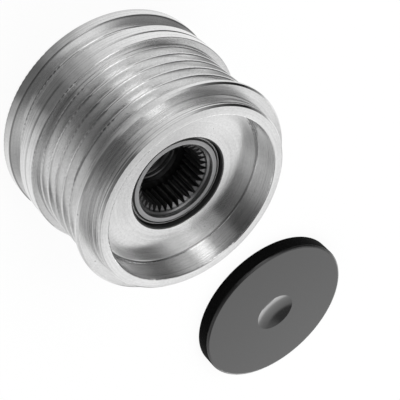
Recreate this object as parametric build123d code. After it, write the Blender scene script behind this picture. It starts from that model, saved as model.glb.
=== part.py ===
from build123d import *
import math
import os

# Overrunning alternator pulley with its protective cap taken off.
# The pulley stands on the rear end of its hub, its axis is +Z and its open front looks up.
# The ring outside turns on the hub: a sleeve, two roller bearings and a one-way clutch lie
# between them. The cap lies beside the pulley on the same surface.

os.makedirs("parts", exist_ok=True)

# Pulley ring: wall from the main bore to the crests between the belt grooves, and its edges
ring_wall = 10.5
edge_break = 0.3
fine_break = 0.12
front_edge_cut = 0.45
ring_lift = 0.5

# Pulley ring: the nose that carries the cap
nose_drop = 1.9
nose_length = 4.75
nose_line_depth = 1.0
nose_line_size = 0.16
snap_groove_depth = 2.55
snap_groove_width = 0.9
snap_groove_cut = 0.42

# Pulley ring: the recess in the nose and the web at its floor
nose_wall = 2.8
recess_depth = 7.1
recess_draft = 0.2
recess_corner = 0.7
web_thickness = 2.4

# Pulley ring: front flange and belt grooves
flange_height = 1.32
flange_front_lean = 0.2
flange_width = 1.4
flange_round = 0.4
rib_pitch = 3.56
rib_count = 5
crest_flat = 0.7
crest_round = 0.45
groove_angle = 40.0
groove_depth = 3.0
groove_round = 0.28
first_groove_depth = 9.22

# Pulley ring: land, collar, rear groove and rim
land_width = 1.3
collar_height = 1.85
collar_width = 6.35
collar_line_place = 3.3
collar_line_size = 0.3
neck_drop = 0.7
neck_front_slope = 0.75
neck_width = 3.15
neck_rear_slope = 1.5
neck_corner = 0.6
rim_height = 2.1
rim_width = 3.06
rim_wall = 3.1
bore_land = 3.5
rear_relief_depth = 1.2

# Hub: a tube that is screwed on the shaft
tooth_count = 33
tooth_root_radius = 10.0
tooth_height = 1.4
tooth_tip_share = 0.12
tooth_root_share = 0.2
tooth_lead_in = 1.0
serration_length = 8.42
mouth_step = 0.75
mouth_depth = 1.3
tool_relief_width = 1.0
tool_relief_step = 0.15
thread_minor_radius = 7.19
thread_length = 11.6
pilot_radius = 8.5
hub_wall = 2.5
hub_front_step = 0.5
hub_front_setback = 1.08
hub_chamfer = 0.4

# Sleeve, thrust washers and the two roller rows
clutch_space = 4.0
sleeve_wall = 1.5
sleeve_chamfer = 0.3
washer_thickness = 0.8
washer_gap = 0.6
axial_gap = 0.15
web_gap = 0.2
sleeve_gap = 0.1
row_length = 5.6
row_cage_wall = 0.35
row_roller_count = 14
row_cage_gap = 0.6
running_gap = 0.05
pocket_gap = 0.12

# One-way clutch between the rows
clutch_count = 12
clutch_roller_radius = 1.2
clutch_end_wall = 2.25
ramp_low_drop = 0.35
ramp_high_rise = 0.75
free_angle = 7.0
lock_room = 4.0
spring_room = 5.5
clutch_cage_gap = 0.15
spring_leaf = 0.15
spring_fold_reach = 0.45
spring_height_share = 0.625

# Shaft seals
front_seal_space = 1.45
front_seal_height = 1.3
front_case_height = 2.2
front_case_wall = 0.3
front_lip_space = 0.6
front_garter_wire = 0.2
rear_seal_height = 3.0
rear_seal_inset = 0.4
rear_case_wall = 0.8
rear_lip_space = 2.2
rear_garter_wire = 0.35
lip_gap = 0.05
lip_top_gap = 0.05
lip_head_share = 0.6
lip_waist_share = 0.3
lip_round = 0.05

# Protective cap
cap_wall = 1.25
cap_plate = 1.8
cap_skirt = 3.4
cap_bead = 0.4
cap_bead_width = 0.8
cap_fit_gap = 0.15
cap_edge_round = 0.9
dimple_radius = 7.25
dimple_depth = 1.2
cap_place_x = 8.0
cap_place_y = 120.0

# Radii that several pieces share, from the axis outwards
tooth_tip_radius = tooth_root_radius - tooth_height
mouth_radius = tooth_root_radius + mouth_step
tool_relief_radius = tooth_root_radius + tool_relief_step
hub_radius = tooth_root_radius + hub_wall
hub_front_radius = hub_radius - hub_front_step
seal_bore_radius = hub_front_radius + front_seal_space
sleeve_radius = hub_radius + clutch_space
main_bore_radius = sleeve_radius + sleeve_wall
crest_radius = main_bore_radius + ring_wall
washer_radius = main_bore_radius - washer_gap
lock_radius = sleeve_radius - 2 * clutch_roller_radius
clutch_track = sleeve_radius - running_gap - clutch_roller_radius
row_radius = (hub_radius + sleeve_radius) / 2
row_roller_radius = clutch_space / 2 - running_gap
nose_radius = crest_radius - nose_drop
recess_radius = nose_radius - nose_wall
flange_radius = crest_radius + flange_height
collar_radius = crest_radius + collar_height
neck_radius = crest_radius - neck_drop
rim_radius = crest_radius + rim_height

# Lengths of the ring, measured from its front
last_groove_depth = first_groove_depth + (rib_count - 1) * rib_pitch
land_depth = last_groove_depth + (rib_pitch - crest_flat) / 2
collar_depth = land_depth + land_width
neck_depth = collar_depth + collar_width
neck_floor_depth = neck_depth + neck_front_slope
neck_end_depth = neck_floor_depth + neck_width
rim_depth = neck_end_depth + neck_rear_slope
ring_length = rim_depth + rim_width

# Heights that several pieces share
front_z = ring_lift + ring_length
floor_z = front_z - recess_depth
web_back_z = floor_z - web_thickness
hub_front_z = floor_z - hub_front_setback
mouth_z = hub_front_z - mouth_depth
teeth_z = mouth_z - serration_length
thread_end_z = teeth_z - tool_relief_width
pilot_end_z = thread_end_z - thread_length
front_seal_z = web_back_z
front_washer_z = web_back_z - web_gap - washer_thickness
rear_seal_z = ring_lift + rear_seal_inset
rear_washer_z = rear_seal_z + rear_seal_height + sleeve_gap + axial_gap * 2
sleeve_bottom_z = rear_washer_z + washer_thickness + sleeve_gap
sleeve_top_z = front_washer_z - sleeve_gap
sleeve_length = sleeve_top_z - sleeve_bottom_z
rear_row_z = rear_washer_z + washer_thickness + axial_gap
front_row_z = front_washer_z - axial_gap - row_length
clutch_bottom_z = rear_row_z + row_length + axial_gap
clutch_top_z = front_row_z - axial_gap
clutch_length = clutch_top_z - clutch_bottom_z
clutch_middle_z = (clutch_bottom_z + clutch_top_z) / 2
clutch_roller_length = clutch_length - 2 * clutch_end_wall

# Angles of one clutch pocket: its roller, the bar ahead of it and the bar that its spring leans on
roller_half_angle = math.degrees(math.asin(clutch_roller_radius / clutch_track))
lock_side_angle = free_angle + roller_half_angle + lock_room
spring_side_angle = roller_half_angle + spring_room - free_angle


def turned(outline):
    """Solid of revolution about Z from (radius, height, corner rounding) points."""
    line = FilletPolyline(
        *[(radius, height) for radius, height, corner in outline],
        radius=[corner for radius, height, corner in outline],
        close=True,
    )
    return revolve(Plane.XZ * make_face(line), Axis.Z)


def tube(inner, outer, bottom, height, chamfer_size=0.0):
    """Turned tube whose four edges may be chamfered."""
    body = Cylinder(outer, height) - Cylinder(inner, height)
    if chamfer_size > 0:
        body = chamfer(body.edges().filter_by(GeomType.CIRCLE), chamfer_size)
    return Pos(0, 0, bottom + height / 2) * body


def write(name, solids):
    """Write one node: a single solid or a group of equal ones."""
    shape = Compound(children=solids) if isinstance(solids, list) else solids
    export_step(shape, f"parts/{name}.step")


def groove_outline():
    """Belt grooves from the front to the rear, as outline points of the ring."""
    half_top = (rib_pitch - crest_flat) / 2
    half_root = half_top - groove_depth * math.tan(math.radians(groove_angle / 2))
    root_radius = crest_radius - groove_depth
    points = []
    for rib in range(rib_count):
        middle = front_z - first_groove_depth - rib * rib_pitch
        points.append((crest_radius, middle + half_top, crest_round))
        points.append((root_radius, middle + half_root, groove_round))
        points.append((root_radius, middle - half_root, groove_round))
        points.append((crest_radius, middle - half_top, crest_round))
    return points


def nose_outline():
    """Nose from its front edge to the flange: a fine line and the groove for the cap's bead."""
    line_z = front_z - nose_line_depth
    snap_z = front_z - snap_groove_depth
    snap_radius = nose_radius - snap_groove_cut
    half_snap = snap_groove_width / 2
    return [
        (nose_radius - front_edge_cut, front_z, 0),
        (nose_radius, front_z - front_edge_cut, 0),
        (nose_radius, line_z + nose_line_size, 0),
        (nose_radius - nose_line_size, line_z, 0),
        (nose_radius, line_z - nose_line_size, 0),
        (nose_radius, snap_z + half_snap, fine_break),
        (snap_radius, snap_z + half_snap / 2, fine_break),
        (snap_radius, snap_z - half_snap / 2, fine_break),
        (nose_radius, snap_z - half_snap, fine_break),
        (nose_radius, front_z - nose_length, fine_break),
    ]


def rear_outline():
    """Land, collar with its fine line, rear groove, rim and rear face."""
    collar_z = front_z - collar_depth
    line_z = collar_z - collar_line_place
    neck_z = front_z - neck_depth
    relief_z = ring_lift + rear_relief_depth
    relief_outer = rim_radius - rim_wall
    relief_inner = main_bore_radius + bore_land
    return [
        (crest_radius, collar_z, fine_break),
        (collar_radius, collar_z, edge_break),
        (collar_radius, line_z + collar_line_size, 0),
        (collar_radius - collar_line_size, line_z, 0),
        (collar_radius, line_z - collar_line_size, 0),
        (collar_radius, neck_z, edge_break),
        (neck_radius, front_z - neck_floor_depth, neck_corner),
        (neck_radius, front_z - neck_end_depth, neck_corner),
        (rim_radius, front_z - rim_depth, front_edge_cut),
        (rim_radius, ring_lift, edge_break),
        (relief_outer, ring_lift, fine_break),
        (relief_outer, relief_z, edge_break),
        (relief_inner, relief_z, edge_break),
        (relief_inner, ring_lift, fine_break),
        (main_bore_radius, ring_lift, edge_break),
        (main_bore_radius, web_back_z, 0),
    ]


def pulley_ring():
    flange_z = front_z - nose_length + flange_front_lean
    outline = [
        (seal_bore_radius, web_back_z, 0),
        (seal_bore_radius, floor_z, fine_break),
        (recess_radius - recess_draft, floor_z, recess_corner),
        (recess_radius, front_z, edge_break),
    ]
    outline += nose_outline()
    outline += [
        (flange_radius - front_edge_cut, flange_z, 0),
        (flange_radius, flange_z - front_edge_cut, 0),
        (flange_radius, flange_z - flange_width, flange_round),
    ]
    outline += groove_outline()
    outline += rear_outline()
    return turned(outline)


def tooth_space(step):
    """One space between two teeth, as a flat outline that widens towards the axis."""
    pitch = 2 * math.pi / tooth_count
    middle = step * pitch
    half_root = tooth_root_share * pitch / 2
    half_tip = (1 - tooth_tip_share) * pitch / 2
    inner = tooth_tip_radius - tooth_lead_in
    corners = [(inner, -half_tip), (tooth_tip_radius, -half_tip), (tooth_root_radius, -half_root)]
    corners += [(radius, -angle) for radius, angle in reversed(corners)]
    return Polyline(
        *[(r * math.cos(middle + t), r * math.sin(middle + t)) for r, t in corners],
        close=True,
    )


def hub():
    body = turned(
        [
            (pilot_radius, 0, hub_chamfer),
            (hub_radius, 0, hub_chamfer),
            (hub_radius, front_washer_z + washer_thickness, fine_break),
            (hub_front_radius, front_washer_z + washer_thickness + axial_gap, 0),
            (hub_front_radius, hub_front_z, fine_break),
            (mouth_radius, hub_front_z, fine_break),
            (mouth_radius, mouth_z, 0),
            (tooth_root_radius, mouth_z, 0),
            (tooth_tip_radius, mouth_z - tooth_lead_in, 0),
            (tooth_tip_radius, teeth_z, 0),
            (tool_relief_radius, teeth_z, 0),
            (tool_relief_radius, thread_end_z, 0),
            (thread_minor_radius, thread_end_z, 0),
            (thread_minor_radius, pilot_end_z, 0),
            (pilot_radius, pilot_end_z, 0),
        ]
    )
    spaces = Sketch() + [make_face(tooth_space(step)) for step in range(tooth_count)]
    return body - Pos(0, 0, teeth_z) * extrude(spaces, mouth_z - teeth_z)


def polar(radius, degrees):
    """Point at a radius and an angle about the axis."""
    angle = math.radians(degrees)
    return (radius * math.cos(angle), radius * math.sin(angle))


def clutch_cam_ring():
    """Inner ring of the clutch: its ramps rise clockwise, seen from the front."""
    low = lock_radius - ramp_low_drop
    high = lock_radius + ramp_high_rise
    pitch = 360 / clutch_count
    edges = []
    for ramp in range(clutch_count):
        start = ramp * pitch
        rise = ThreePointArc(
            polar(high, start),
            polar((high + low) / 2, start + pitch / 2),
            polar(low, start + pitch),
        )
        edges += [rise, Line(polar(low, start + pitch), polar(high, start + pitch))]
    profile = make_face(Curve() + edges) - Circle(hub_radius)
    return Pos(0, 0, clutch_bottom_z) * extrude(profile, clutch_length)


def clutch_place(pocket, angle_offset, height):
    """Place in one pocket: X points outwards and Y along the turn, at the rollers' radius."""
    angle = pocket * 360 / clutch_count + angle_offset
    return Rot(0, 0, angle) * Pos(clutch_track, 0, height)


def clutch_cage():
    """Cage with one window for each roller and its spring."""
    inner = lock_radius + ramp_high_rise + clutch_cage_gap
    outer = sleeve_radius - clutch_cage_gap
    body = tube(inner, outer, clutch_bottom_z + clutch_cage_gap, clutch_length - 2 * clutch_cage_gap)
    window_height = clutch_roller_length + 2 * pocket_gap
    windows = []
    for pocket in range(clutch_count):
        angle = pocket * 360 / clutch_count
        sector = make_face(
            Polyline(
                polar(hub_radius, angle - lock_side_angle),
                polar(main_bore_radius, angle - lock_side_angle),
                polar(main_bore_radius, angle + spring_side_angle),
                polar(hub_radius, angle + spring_side_angle),
                close=True,
            )
        )
        windows.append(Pos(0, 0, clutch_middle_z - window_height / 2) * extrude(sector, window_height))
    return body - windows


def clutch_rollers():
    roller = Cylinder(clutch_roller_radius, clutch_roller_length)
    return [clutch_place(pocket, -free_angle, clutch_middle_z) * roller for pocket in range(clutch_count)]


def clutch_springs():
    """Folded leaf between each roller and the bar behind it."""
    bar_y = clutch_track * math.tan(math.radians(free_angle + spring_side_angle))
    first_y = clutch_roller_radius + spring_leaf / 2 + running_gap
    last_y = bar_y - spring_leaf / 2 - running_gap
    fold = (last_y - first_y) / 3
    line = Polyline(
        (0, first_y),
        (spring_fold_reach, first_y + fold),
        (-spring_fold_reach, first_y + 2 * fold),
        (0, last_y),
    )
    height = clutch_roller_length * spring_height_share
    leaf = Pos(0, 0, -height / 2) * extrude(trace(line, line_width=spring_leaf), height)
    return [clutch_place(pocket, -free_angle, clutch_middle_z) * leaf for pocket in range(clutch_count)]


def row_place(roller, bottom_z):
    return Rot(0, 0, roller * 360 / row_roller_count) * Pos(row_radius, 0, bottom_z + row_length / 2)


def row_rollers(bottom_z):
    roller = Cylinder(row_roller_radius, row_length - 2 * row_cage_wall - 2 * pocket_gap)
    return [row_place(step, bottom_z) * roller for step in range(row_roller_count)]


def row_cage(bottom_z):
    """Moulded cage: two end rings joined by a bar between each pair of rollers."""
    body = tube(hub_radius + row_cage_gap, sleeve_radius - row_cage_gap, bottom_z, row_length)
    pocket = Cylinder(row_roller_radius + pocket_gap, row_length - 2 * row_cage_wall)
    return body - [row_place(step, bottom_z) * pocket for step in range(row_roller_count)]


def seal_case(bore, lip_root, wall, bottom_z, height):
    """Angle ring: its wall is pressed in the bore and its base carries the lip."""
    return turned(
        [
            (lip_root, bottom_z, 0),
            (bore, bottom_z, wall / 2),
            (bore, bottom_z + height, 0),
            (bore - wall, bottom_z + height, 0),
            (bore - wall, bottom_z + wall, wall / 2),
            (lip_root, bottom_z + wall, 0),
        ]
    )


def seal_lip(shaft, lip_root, wall, bottom_z, height):
    """Rubber lip from the base of its case to the shaft, with a head that holds the spring."""
    space = lip_root - shaft
    head = shaft + lip_head_share * space
    waist = shaft + lip_waist_share * space
    top = bottom_z + height - lip_top_gap
    return turned(
        [
            (waist, bottom_z, 0),
            (lip_root, bottom_z, 0),
            (lip_root, bottom_z + wall, 0),
            (head, bottom_z + wall + space / 4, 0),
            (head, top, lip_round),
            (waist, top, lip_round),
            (shaft + lip_gap, top - height / 4, 0),
            (waist, top - height / 2, 0),
        ]
    )


def garter_spring(shaft, lip_root, bottom_z, height, wire_radius):
    """Ring of coiled wire round the head of a lip."""
    head = shaft + lip_head_share * (lip_root - shaft)
    middle_z = bottom_z + height - lip_top_gap - height / 4
    return Pos(0, 0, middle_z) * Torus(head + wire_radius, wire_radius)


def protective_cap():
    """Moulded cap that clips over the nose, lying open side down beside the pulley."""
    inner = nose_radius + cap_fit_gap
    outer = inner + cap_wall
    top = cap_skirt + cap_plate
    bead_z = cap_skirt - snap_groove_depth
    half_bead = cap_bead_width / 2
    body = turned(
        [
            (0, cap_skirt, 0),
            (0, top, 0),
            (outer, top, cap_edge_round),
            (outer, 0, fine_break),
            (inner + cap_bead / 2, 0, fine_break),
            (inner, bead_z - half_bead, 0),
            (inner - cap_bead, bead_z, fine_break),
            (inner, bead_z + half_bead, 0),
            (inner, cap_skirt, edge_break),
        ]
    )
    ball_radius = (dimple_radius**2 + dimple_depth**2) / (2 * dimple_depth)
    ball_place = Pos(0, 0, top + ball_radius - dimple_depth)
    below = Pos(0, 0, top / 2) * Cylinder(nose_radius / 2, top)
    boss = ball_place * Sphere(ball_radius + cap_plate) & below
    return Pos(cap_place_x, cap_place_y, 0) * (body + boss - ball_place * Sphere(ball_radius))


write("pulley_ring", pulley_ring())
write("outer_sleeve", tube(sleeve_radius, main_bore_radius, sleeve_bottom_z, sleeve_length, sleeve_chamfer))
write("hub", hub())
write("clutch_cam_ring", clutch_cam_ring())
write("clutch_cage", clutch_cage())
write("clutch_rollers", clutch_rollers())
write("clutch_springs", clutch_springs())
write("front_thrust_washer", tube(hub_radius, washer_radius, front_washer_z, washer_thickness))
write("rear_thrust_washer", tube(hub_radius, washer_radius, rear_washer_z, washer_thickness))
for row, row_z in (("front", front_row_z), ("rear", rear_row_z)):
    write(f"{row}_bearing_cage", row_cage(row_z))
    write(f"{row}_bearing_rollers", row_rollers(row_z))

front_seal = (hub_front_radius, hub_front_radius + front_lip_space)
rear_seal = (hub_radius, hub_radius + rear_lip_space)
write(
    "front_seal_case",
    seal_case(seal_bore_radius, front_seal[1], front_case_wall, front_seal_z, front_case_height),
)
write("front_seal_lip", seal_lip(*front_seal, front_case_wall, front_seal_z, front_seal_height))
write("front_garter_spring", garter_spring(*front_seal, front_seal_z, front_seal_height, front_garter_wire))
write(
    "rear_seal_case",
    seal_case(main_bore_radius, rear_seal[1], rear_case_wall, rear_seal_z, rear_seal_height),
)
write("rear_seal_lip", seal_lip(*rear_seal, rear_case_wall, rear_seal_z, rear_seal_height))
write("rear_garter_spring", garter_spring(*rear_seal, rear_seal_z, rear_seal_height, rear_garter_wire))
write("protective_cap", protective_cap())
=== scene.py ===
# %% [markdown]
# # Dressing an overrunning alternator pulley
# The solids come ready from the CAD program, in metres, and stay where they are. This lesson gives them
# their turned steel, black rubber and moulded plastic, winds in a shaft thread that is too fine for the
# solids, and sets up a studio round them. Each cell does one thing, and most print what they made.

# %% Load the solids
import bpy
import math
from mathutils import Matrix, Vector


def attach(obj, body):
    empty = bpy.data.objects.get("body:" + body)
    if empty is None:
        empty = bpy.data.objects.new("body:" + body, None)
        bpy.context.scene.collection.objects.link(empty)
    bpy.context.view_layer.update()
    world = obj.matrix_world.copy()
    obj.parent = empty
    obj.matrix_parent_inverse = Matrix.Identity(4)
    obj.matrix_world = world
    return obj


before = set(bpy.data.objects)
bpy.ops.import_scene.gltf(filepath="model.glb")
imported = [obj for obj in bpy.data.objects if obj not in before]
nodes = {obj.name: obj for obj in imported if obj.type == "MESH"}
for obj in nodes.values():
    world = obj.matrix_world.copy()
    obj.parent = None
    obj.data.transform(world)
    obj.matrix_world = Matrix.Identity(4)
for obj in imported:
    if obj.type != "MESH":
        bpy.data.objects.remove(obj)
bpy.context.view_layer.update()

# %% [markdown]
# The camera stands where the photographer's stood: above the open front and rolled, so the pulley's
# axis runs down to the right in the picture. Its place, elevation, roll and lens were fitted to points
# and edges of the photographed ring. A Blender camera starts by looking straight down, so it is rolled
# about its own line of sight first and then tipped up about the X axis.

# %% Place the camera
camera_place = (-0.00094, -0.2168, 0.21493)
camera_elevation = 38.4814
camera_roll = 135.019
camera_data = bpy.data.cameras.new("photo_camera")
camera_data.sensor_width = 36.0
camera_data.lens = 103.55
camera_data.clip_start = 0.01
camera_data.clip_end = 10.0
camera = bpy.data.objects.new("photo_camera", camera_data)
bpy.context.scene.collection.objects.link(camera)
tip_up = Matrix.Rotation(math.radians(90 - camera_elevation), 4, "X")
roll = Matrix.Rotation(math.radians(camera_roll), 4, "Z")
camera.matrix_world = Matrix.Translation(camera_place) @ tip_up @ roll
bpy.context.scene.camera = camera
print("camera at", [round(c, 4) for c in camera.location], "lens", camera_data.lens)

# %% [markdown]
# Every finish here is a small tree of nodes. A helper that adds a node, sets its inputs and joins it
# to others keeps each tree readable, and a few more helpers do the sums that come back everywhere.

# %% Helpers that add nodes


def new_material(name):
    """An empty material with its Principled shader."""
    material = bpy.data.materials.new(name)
    material.use_nodes = True
    tree = material.node_tree
    return material, tree, tree.nodes["Principled BSDF"]


def add_node(tree, kind, inputs=None, **settings):
    """Add a node, set what it has, then fill its inputs with values or links."""
    node = tree.nodes.new(kind)
    for key, value in settings.items():
        setattr(node, key, value)
    for key, value in (inputs or {}).items():
        if isinstance(value, bpy.types.NodeSocket):
            tree.links.new(value, node.inputs[key])
        else:
            node.inputs[key].default_value = value
    return node


def paint(piece, material):
    """Give a piece this material and no other."""
    piece.data.materials.clear()
    piece.data.materials.append(material)


# %% Helpers for sums


def math_node(tree, operation, first, second=0.0):
    return add_node(tree, "ShaderNodeMath", {0: first, 1: second}, operation=operation).outputs[0]


def product(tree, first, *others):
    """Several numbers multiplied."""
    for other in others:
        first = math_node(tree, "MULTIPLY", first, other)
    return first


def largest(tree, first, *others):
    """The largest of several numbers."""
    for other in others:
        first = math_node(tree, "MAXIMUM", first, other)
    return first


def remap(tree, value, start, end, low=0.0, high=1.0):
    """From low where the value is at start to high where it is at end, and held beyond both."""
    inputs = {"Value": value, "From Min": start, "From Max": end, "To Min": low, "To Max": high}
    return add_node(tree, "ShaderNodeMapRange", inputs).outputs["Result"]


# %% Helpers for places and colours


def parts_of(tree, vector):
    """The x, y and z of a vector."""
    return add_node(tree, "ShaderNodeSeparateXYZ", {0: vector}).outputs


def joined(tree, x=0.0, y=0.0, z=0.0):
    """A vector made from its x, y and z."""
    return add_node(tree, "ShaderNodeCombineXYZ", {0: x, 1: y, 2: z}).outputs[0]


def distance(tree, first, second=(0, 0, 0)):
    """How far one place is from another, or from the origin."""
    ends = {0: first, 1: second}
    return add_node(tree, "ShaderNodeVectorMath", ends, operation="DISTANCE").outputs["Value"]


def dimmed(tree, colour, factor):
    """A colour multiplied by a number."""
    inputs = {0: colour, "Scale": factor}
    return add_node(tree, "ShaderNodeVectorMath", inputs, operation="SCALE").outputs["Vector"]


def mixed(tree, factor, first, second):
    """The first colour at 0, the second at 1."""
    inputs = {"Factor": factor, "A": first, "B": second}
    return add_node(tree, "ShaderNodeMix", inputs, data_type="RGBA").outputs["Result"]


def noise(tree, vector, scale, detail, **more):
    """Smooth noise round 0.5. A fourth coordinate, W, makes it drift."""
    settings = {"noise_dimensions": "4D"} if "W" in more else {}
    inputs = {"Vector": vector, "Scale": scale, "Detail": detail, **more}
    return add_node(tree, "ShaderNodeTexNoise", inputs, **settings).outputs["Fac"]


# %% [markdown]
# A lathe's marks run round the axis, so they depend on a point's distance to the axis and on its height
# alone. Faces that lie level and upright walls are cut by other passes of the tool, so they differ in
# gloss and in how clearly the tool's lines show.

# %% Helpers for turned surfaces


def lathe_coordinates(tree):
    """Each point's distance to the axis and height, as one vector, and its place."""
    place = add_node(tree, "ShaderNodeTexCoord").outputs["Object"]
    x, y, z = parts_of(tree, place)
    squares = math_node(tree, "ADD", product(tree, x, x), product(tree, y, y))
    return joined(tree, math_node(tree, "SQRT", squares), z), place


def faces_up(tree):
    """1 on faces that look straight up or down, 0 on upright walls."""
    normal = add_node(tree, "ShaderNodeNewGeometry").outputs["Normal"]
    return math_node(tree, "ABSOLUTE", parts_of(tree, normal)[2])


def by_facing(tree, up, on_walls, on_faces):
    """One value on upright walls and slopes, passing over to another on level faces."""
    return remap(tree, up, 0.7, 1.0, on_walls, on_faces)


# %% [markdown]
# The ring is turned from steel on a lathe and left bright. The tool leaves fine rings round the axis,
# and they stretch each reflection. Painted shade darkens the steel where a neighbouring wall is near,
# and along two thin lines in corners. A fine mottling and a few nicks break it up.

# %% Turned steel


def lead_in_relief(tree, place, floor_height, bump):
    """The turned funnel at the ends of the teeth: the floor of the mouth leans in towards the axis."""
    x, y, z = parts_of(tree, place)
    on_floor = {0: z, 1: floor_height, 2: 0.0003}
    there = add_node(tree, "ShaderNodeMath", on_floor, operation="COMPARE").outputs[0]
    slope = {"Height": distance(tree, joined(tree, x, y)), "Strength": there, "Distance": 0.9,
             "Normal": bump.outputs["Normal"]}
    return add_node(tree, "ShaderNodeBump", slope)


def tone_with_painted_corner_shade(tree, place, lines, corner_reach, corner_depth):
    """How bright the steel is left by its lines, its mottling and its nicks, and by painted shade in corners.
    """
    tint = remap(tree, noise(tree, place, 90.0, 3.0), 0.25, 0.75, 0.93, 1.07)
    near = {"Distance": corner_reach}
    # painted shade: the colour darkens where another surface lies near
    corner = add_node(tree, "ShaderNodeAmbientOcclusion", near, samples=8, only_local=True)
    shade = remap(tree, corner.outputs["AO"], 0.2, 0.85, 1.0 - corner_depth, 1.0)
    mottle = remap(tree, noise(tree, place, 2200.0, 2.0), 0.3, 0.7, 0.95, 1.06)
    spots = add_node(tree, "ShaderNodeTexVoronoi", {"Vector": place, "Scale": 190.0})
    nicks = remap(tree, spots.outputs["Distance"], 0.02, 0.045, 0.55, 1.0)
    return product(tree, tint, lines, shade, mottle, nicks)


def turned_steel(name, colour, roughness, face_roughness, stretch, line_depth, corner_reach, corner_depth,
                 painted_bore_shades=(), lead_in=None, painted_shade_lines=()):
    """Steel off the lathe. Each painted bore shade has the heights it is full below and gone above, and its
    level.
    """
    material, tree, shader = new_material(name)
    lathe, place = lathe_coordinates(tree)
    up = faces_up(tree)
    drift = noise(tree, place, 25.0, 1.0)
    fine = noise(tree, lathe, 2600.0, 3.0, W=product(tree, drift, 0.0006), Roughness=0.6)
    broad = noise(tree, lathe, 600.0, 2.0, W=product(tree, drift, 0.002))
    lines = remap(tree, fine, 0.34, 0.47, by_facing(tree, up, 0.72, 0.93), 1.0)
    level = tone_with_painted_corner_shade(tree, place, lines, corner_reach, corner_depth)
    # painted shade: a thin dark line round each given corner
    for radius, height in painted_shade_lines:
        away = distance(tree, lathe, (radius, height, 0))
        level = product(tree, level, remap(tree, away, 0.00012, 0.0004, 0.45, 1.0))
    # painted shade: the bore darkens below the given heights
    for full_below, gone_above, darkest in painted_bore_shades:
        height = parts_of(tree, place)[2]
        level = product(tree, level, remap(tree, height, full_below, gone_above, darkest, 1.0))
    relief = by_facing(tree, up, 0.6, 0.12)
    bump = add_node(tree, "ShaderNodeBump", {"Height": fine, "Strength": relief, "Distance": line_depth})
    if lead_in:
        bump = lead_in_relief(tree, place, lead_in, bump)
    spread = remap(tree, broad, 0.35, 0.65, 0.75, 1.3)
    rough = product(tree, by_facing(tree, up, roughness, face_roughness), spread)
    axis_turn = add_node(tree, "ShaderNodeTangent", direction_type="RADIAL", axis="Z")
    tree.links.new(dimmed(tree, colour, level), shader.inputs["Base Color"])
    tree.links.new(rough, shader.inputs["Roughness"])
    tree.links.new(bump.outputs["Normal"], shader.inputs["Normal"])
    tree.links.new(axis_turn.outputs["Tangent"], shader.inputs["Tangent"])
    shader.inputs["Metallic"].default_value = 1.0
    shader.inputs["Anisotropic"].default_value = stretch
    shader.inputs["Anisotropic Rotation"].default_value = 0.25
    return material


# %% [markdown]
# The ring is the brightest steel, with painted shade in a thin line at the foot of the nose wall and
# one where the rear groove meets the rim, each given by its radius and height. The hub is duller.
# Painted shade darkens its bore inside the mouth and again below the teeth, where the shaft thread starts.

# %% The steels
# Painted shade: two corner lines by radius and height, and two bands of the bore by height
recess_corner = (0.0234, 0.0346)
rim_corner = (0.0305, 0.0037)
mouth_painted_shade = (0.0309, 0.0331, 0.6)
thread_painted_shade = (0.0234, 0.0238, 0.4)
mouth_floor = 0.03202
ring_steel = turned_steel("turned_ring_steel", (0.91, 0.91, 0.91), roughness=0.15, face_roughness=0.2,
                          stretch=0.7, line_depth=0.000016, corner_reach=0.0005, corner_depth=0.75,
                          painted_shade_lines=(recess_corner, rim_corner))
hub_steel = turned_steel("satin_hub_steel", (0.52, 0.52, 0.525), roughness=0.36, face_roughness=0.34,
                         stretch=0.3, line_depth=0.00001, corner_reach=0.0015, corner_depth=0.5,
                         painted_bore_shades=(mouth_painted_shade, thread_painted_shade), lead_in=mouth_floor)
bearing_steel = turned_steel("ground_bearing_steel", (0.66, 0.66, 0.67), roughness=0.2, face_roughness=0.2,
                             stretch=0.3, line_depth=0.000005, corner_reach=0.001, corner_depth=0.4)
seal_steel = turned_steel("oiled_seal_steel", (0.12, 0.12, 0.12), roughness=0.4, face_roughness=0.4,
                          stretch=0.0, line_depth=0.000005, corner_reach=0.001, corner_depth=0.3)
spring_steel = turned_steel("oiled_spring_steel", (0.9, 0.9, 0.9), roughness=0.5, face_roughness=0.5,
                            stretch=0.0, line_depth=0.000005, corner_reach=0.001, corner_depth=0.0)
print("steels:", [m.name for m in (ring_steel, hub_steel, bearing_steel, seal_steel, spring_steel)])

# %% [markdown]
# The seals are black rubber, the bearing cages dark nylon and the cap black moulded plastic with a
# fine grain. A mould leaves the grain, so it runs over the whole piece in all directions. The cap has
# a glossy coat and painted shade on its sides, and a thin painted highlight rings the front seal's lip.

# %% Rubber and plastic


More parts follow.
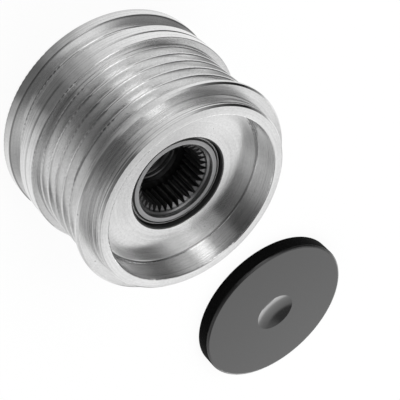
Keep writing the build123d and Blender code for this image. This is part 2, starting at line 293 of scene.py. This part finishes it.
def moulded(name, colour, roughness, grain_scale, grain_depth, painted_dark_sides=False, painted_highlight_radius=None):
    """Moulded rubber or plastic, a little cloudy in colour and gloss."""
    material, tree, shader = new_material(name)
    place = add_node(tree, "ShaderNodeTexCoord").outputs["Object"]
    cloud = noise(tree, place, 60.0, 3.0)
    darker = (*[c * 0.9 for c in colour], 1)
    lighter = (*[c * 1.1 for c in colour], 1)
    shown = mixed(tree, cloud, darker, lighter)
    grain = noise(tree, place, grain_scale, 4.0)
    bump = add_node(tree, "ShaderNodeBump", {"Height": grain, "Strength": 0.4, "Distance": grain_depth})
    # painted shade: the sides get a darker colour and less reflection than the top
    if painted_dark_sides:
        top = remap(tree, faces_up(tree), 0.3, 0.8, 0.12, 1.0)
        shown = dimmed(tree, shown, top)
        tree.links.new(product(tree, top, 0.5), shader.inputs["Specular IOR Level"])
        shader.inputs["Coat Weight"].default_value = 0.9
        shader.inputs["Coat Roughness"].default_value = 0.05
    # painted highlight: a thin bright ring at this radius
    if painted_highlight_radius:
        radius = parts_of(tree, lathe_coordinates(tree)[0])[0]
        off = math_node(tree, "ABSOLUTE", math_node(tree, "SUBTRACT", radius, painted_highlight_radius))
        shown = dimmed(tree, shown, remap(tree, off, 0.0001, 0.0003, 12.0, 1.0))
    rough = remap(tree, cloud, 0.3, 0.7, roughness - 0.04, roughness + 0.04)
    tree.links.new(shown, shader.inputs["Base Color"])
    tree.links.new(rough, shader.inputs["Roughness"])
    tree.links.new(bump.outputs["Normal"], shader.inputs["Normal"])
    return material


rubber_black = (0.012, 0.012, 0.012)
lip_highlight_radius = 0.0126
seal_rubber = moulded("black_seal_rubber", rubber_black, 0.5, 3000.0, 0.00002)
# the front seal's lip gets a painted highlight ring
lip_rubber = moulded("lip_rubber_painted_highlight", rubber_black, 0.4, 3000.0, 0.00002, painted_highlight_radius=lip_highlight_radius)
cage_plastic = moulded("dark_cage_plastic", (0.03, 0.03, 0.03), 0.45, 2500.0, 0.00001)
# the cap's sides get painted shade
cap_plastic = moulded("black_cap_plastic", (0.013, 0.013, 0.0133), 0.16, 2200.0, 0.00001, painted_dark_sides=True)
print("moulded:", [m.name for m in (seal_rubber, lip_rubber, cage_plastic, cap_plastic)])

# %% [markdown]
# Every solid gets the one finish that its name asks for. What is hidden inside is painted as well,
# because a section or an opened pulley shows it: rollers, washers and clutch are ground bearing steel.

# %% Give each solid its finish
finishes = {
    "pulley_ring": ring_steel,
    "hub": hub_steel,
    "protective_cap": cap_plastic,
    "front_garter_spring": spring_steel,
    "rear_garter_spring": spring_steel,
    "front_seal_case": seal_steel,
    "front_seal_lip": lip_rubber,
    "rear_seal_case": seal_steel,
}
for name, node in nodes.items():
    if name in finishes:
        paint(node, finishes[name])
    elif "seal" in name:
        paint(node, seal_rubber)
    elif "cage" in name:
        paint(node, cage_plastic)
    else:
        paint(node, bearing_steel)
print("painted:", len(nodes), "solids")

# %% [markdown]
# The hub is screwed on its shaft, so a tap has cut a thread in its bore. The solid ends at the thread's
# inner diameter, which is what a mating shaft needs. One three-cornered ridge wound up the bore with the
# Screw modifier shows the turns; its foot lies in the steel and its edge stands 0.3 mm inside the bore.

# %% Wind the shaft thread
bore_radius = 0.00719
edge_rise = 0.0003
ridge_size = 0.0006
thread_start = 0.01155
thread_pitch = 0.0015
thread_turns = 7
ridge_place = (bore_radius - edge_rise + ridge_size, 0, thread_start)
edge_inwards = (math.pi / 2, -math.pi / 2, 0)
bpy.ops.object.select_all(action="DESELECT")
bpy.ops.mesh.primitive_circle_add(vertices=3, radius=ridge_size, location=ridge_place, rotation=edge_inwards)
thread = bpy.context.object
thread.name = "shaft_thread_ridge"
bpy.ops.object.transform_apply(location=True, rotation=True, scale=True)
wind = thread.modifiers.new("wind", "SCREW")
wind.axis = "Z"
wind.angle = 2 * math.pi
wind.screw_offset = thread_pitch
wind.iterations = thread_turns
wind.steps = wind.render_steps = 72
bpy.ops.object.modifier_apply(modifier="wind")
print("wound:", len(thread.data.polygons), "faces")

# %% Close and finish the thread
bpy.ops.object.mode_set(mode="EDIT")
bpy.ops.mesh.select_all(action="SELECT")
bpy.ops.mesh.fill_holes(sides=0)
bpy.ops.mesh.select_all(action="SELECT")
bpy.ops.mesh.normals_make_consistent(inside=False)
bpy.ops.object.mode_set(mode="OBJECT")
bpy.ops.object.shade_smooth_by_angle(angle=math.radians(30))
paint(thread, hub_steel)
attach(thread, "hub_side")
low_corner, high_corner = ([round(1000 * c, 2) for c in thread.bound_box[i]] for i in (0, 6))
print("thread:", len(thread.data.polygons), "faces, from", low_corner, "to", high_corner, "mm")

# %% [markdown]
# A polished metal shows the studio more than its own colour, so the studio is drawn for it: a sky and a
# floor whose brightness changes with the compass direction. The levels come from the photograph. How
# bright its steel is was read at steps of angle round the ring, and the readings were worked out into
# light from each direction, along the steel's mirror directions. The levels were then changed after
# renders: the sky's several times, the floor's once. Plain surfaces and the camera see white instead.

# %% Brightness by compass direction


def compass(tree, direction, levels):
    """A brightness for each azimuth in degrees, joined smoothly all the way round."""
    x, y, z = parts_of(tree, direction)
    turn = math_node(tree, "DIVIDE", math_node(tree, "ARCTAN2", y, x), 2 * math.pi)
    ramp = add_node(tree, "ShaderNodeValToRGB", {"Fac": math_node(tree, "ADD", turn, 0.5)})
    band = ramp.color_ramp
    band.interpolation = "EASE"
    stops = sorted(((azimuth + 180) / 360, level) for azimuth, level in levels.items())
    (first, low), (last, high) = stops[0], stops[-1]
    seam = low + (high - low) * first / (first + 1 - last)
    band.elements[0].position, band.elements[1].position = 0.0, 1.0
    for end in (band.elements[0], band.elements[1]):
        end.color = (seam, seam, seam, 1)
    for position, level in stops:
        band.elements.new(position).color = (level, level, level, 1)
    return ramp.outputs["Color"]


# %% Levels by azimuth, in degrees from +X
sky_levels = {90: 0.87, 60: 0.8, 38: 0.42, 22: 0.36, 5: 0.46, -10: 0.4, -30: 0.19, -58: 0.1, -75: 0.09,
              -92: 0.4, -112: 0.66, -150: 0.9, -166: 0.48, -178: 0.24, 168: 0.17, 157: 0.22, 146: 0.32,
              130: 0.4, 112: 0.7}
top_levels = {90: 0.12, 70: 0.12, 50: 0.1, -10: 0.08, -60: 0.1, -90: 0.2, -124: 0.6, -145: 0.8,
              -160: 0.75, 180: 0.7, 150: 0.8, 130: 0.88, 116: 0.6}
near_levels = {0: 0.88, -30: 0.76, -45: 0.6, -58: 0.34, -67: 0.13, -81: 0.12, -92: 0.25, -102: 0.42,
               -112: 0.66, -125: 0.76, -140: 0.82, 180: 0.9, 90: 0.9}
far_levels = {10: 0.74, -22: 0.66, -40: 0.44, -57: 0.18, -73: 0.18, -90: 0.32, -107: 0.52, -123: 0.7,
              -157: 0.78, 170: 0.72, 140: 0.86, 90: 0.88, 40: 0.82}
print("levels:", [len(levels) for levels in (sky_levels, top_levels, near_levels, far_levels)])

# %% [markdown]
# The floor is one white sheet. Mirrors see it otherwise: near the pulley and farther out its levels
# differ, since the dark card beside the lens shows in it at a slant. In front it fades with distance,
# and round the cap it is nearly black, which keeps the cap's sides dark.

# %% Lay the floor
bpy.ops.object.select_all(action="DESELECT")
bpy.ops.mesh.primitive_plane_add(size=4.0, location=(0, 0, 0))
floor = bpy.context.object
floor.name = "studio_floor"
print("floor:", [round(side, 2) for side in floor.dimensions], "m")

# %% What mirrors see of the floor


def mix_shaders(tree, factor, first, second):
    """The first shader at 0, the second at 1."""
    return add_node(tree, "ShaderNodeMixShader", {0: factor, 1: first, 2: second}).outputs[0]


cap_centre = (0.008, 0.12, 0.0)
material, tree, shader = new_material("studio_floor")
tree.nodes.remove(shader)
place = add_node(tree, "ShaderNodeTexCoord").outputs["Object"]
reach = distance(tree, place)
far = remap(tree, reach, 0.04, 0.07)
level = mixed(tree, far, compass(tree, place, near_levels), compass(tree, place, far_levels))
fade = remap(tree, reach, 0.16, 0.3, 1.0, 0.2)
behind = remap(tree, parts_of(tree, place)[1], -0.02, 0.04)
cap_patch = remap(tree, distance(tree, place, cap_centre), 0.05, 0.08, 0.05, 1.0)
level = dimmed(tree, level, product(tree, largest(tree, fade, behind), cap_patch))

# %% What the camera and plain surfaces see of the floor
path = add_node(tree, "ShaderNodeLightPath").outputs
card = add_node(tree, "ShaderNodeBsdfDiffuse", {"Color": (0.95, 0.95, 0.95, 1)}).outputs[0]
white = add_node(tree, "ShaderNodeEmission", {"Color": (1, 1, 1, 1), "Strength": 1.0}).outputs[0]
mirrored = add_node(tree, "ShaderNodeEmission", {"Color": level, "Strength": 1.0}).outputs[0]
lit = mix_shaders(tree, product(tree, path["Is Camera Ray"], 0.9), card, white)
mix = mix_shaders(tree, path["Is Glossy Ray"], lit, mirrored)
tree.links.new(mix, tree.nodes["Material Output"].inputs["Surface"])
paint(floor, material)
print("floor material:", len(tree.nodes), "nodes")

# %% [markdown]
# The sky stands for white walls, dark cards and a window. Only mirrors see it: the walls' brightness
# goes round with the compass, a dark card hangs overhead and reaches down over the back (+Y), and the
# horizon is dim in front (-Y) and on the left (-X). A low strip and a wall on the right and a glow low
# behind are lighter. The window makes the short glints on the groove flanks.

# %% Sky levels


def by_elevation(tree, height, low, high, below=0.0, above=1.0):
    """One value below an elevation in degrees, passing over to another above a second elevation."""
    return remap(tree, height, math.sin(math.radians(low)), math.sin(math.radians(high)), below, above)


world = bpy.data.worlds.new("studio")
bpy.context.scene.world = world
world.use_nodes = True
tree = world.node_tree
direction = add_node(tree, "ShaderNodeTexCoord").outputs["Generated"]
sideways, backwards, height = parts_of(tree, direction)
back_card = product(tree, by_elevation(tree, height, 41, 48), remap(tree, backwards, 0.3, 0.42))
overhead = largest(tree, by_elevation(tree, height, 57, 68), back_card)
level = mixed(tree, overhead, compass(tree, direction, sky_levels), compass(tree, direction, top_levels))
rise = by_elevation(tree, height, 18, 50, 0.06, 1.0)
back = remap(tree, backwards, 0.4, 0.7)
side = remap(tree, sideways, 0.1, 0.5, 0.0, 0.9)
level = dimmed(tree, level, largest(tree, rise, back, side))

# %% Strip, wall and glow
beside = remap(tree, sideways, 0.1, 0.3)
ahead = remap(tree, backwards, -0.75, -0.45)
rear = remap(tree, backwards, 0.75, 0.9)
strip = product(tree, by_elevation(tree, height, 6, 15, 0.32, 0.0), beside)
wall = product(tree, by_elevation(tree, height, 28, 37, 0.62, 0.0), beside, ahead)
glow = product(tree, by_elevation(tree, height, 14, 24, 1.5, 0.0), rear)
fill = largest(tree, strip, wall, glow)
both = {0: level, 1: joined(tree, fill, fill, fill)}
level = add_node(tree, "ShaderNodeVectorMath", both, operation="MAXIMUM").outputs["Vector"]

# %% Window


def compass_point(azimuth, elevation):
    """The direction to an azimuth and an elevation in degrees, one long."""
    a, e = math.radians(azimuth), math.radians(elevation)
    return Vector((math.cos(a) * math.cos(e), math.sin(a) * math.cos(e), math.sin(e)))


window_way = tuple(compass_point(-124, 19))
window_outer = math.cos(math.radians(16))
window_inner = math.cos(math.radians(7))
window_level = 2.2
ways = {0: direction, 1: window_way}
toward = add_node(tree, "ShaderNodeVectorMath", ways, operation="DOT_PRODUCT").outputs["Value"]
window = remap(tree, toward, window_outer, window_inner, 0.0, window_level)
both = {0: level, 1: joined(tree, window, window, window)}
level = add_node(tree, "ShaderNodeVectorMath", both, operation="ADD").outputs["Vector"]

# %% Join the sky
path = add_node(tree, "ShaderNodeLightPath").outputs
soft = tree.nodes["Background"]
soft.inputs["Color"].default_value = (1, 1, 1, 1)
soft.inputs["Strength"].default_value = 0.65
mirrored = add_node(tree, "ShaderNodeBackground", {"Color": level, "Strength": 1.0}).outputs[0]
plain = add_node(tree, "ShaderNodeBackground", {"Color": (1, 1, 1, 1), "Strength": 1.0}).outputs[0]
half = mix_shaders(tree, path["Is Glossy Ray"], soft.outputs[0], mirrored)
seen = largest(tree, path["Is Camera Ray"], path["Is Transmission Ray"])
mix = mix_shaders(tree, seen, half, plain)
tree.links.new(mix, tree.nodes["World Output"].inputs["Surface"])
print("sky:", len(tree.nodes), "nodes")

# %% [markdown]
# Two large soft lamps light the plastic and give the floor its faint shadow. A mirror would show them
# as hard squares, so the steel doesn't see them.

# %% Lamps


def softbox(name, azimuth, elevation, away, size, power):
    """A square area lamp that looks at the pulley."""
    data = bpy.data.lights.new(name, "AREA")
    data.size = size
    data.energy = power
    lamp = bpy.data.objects.new(name, data)
    bpy.context.scene.collection.objects.link(lamp)
    lamp.location = compass_point(azimuth, elevation) * away
    lamp.rotation_euler = lamp.location.to_track_quat("Z", "Y").to_euler()
    lamp.visible_glossy = False
    return lamp


key = softbox("key_softbox", azimuth=-130, elevation=50, away=0.9, size=0.5, power=2.8)
back = softbox("back_softbox", azimuth=80, elevation=50, away=0.9, size=0.7, power=2.4)
bpy.context.scene.view_settings.view_transform = "Standard"
print("lamps:", [(lamp.name, round(lamp.data.energy, 2)) for lamp in (key, back)])
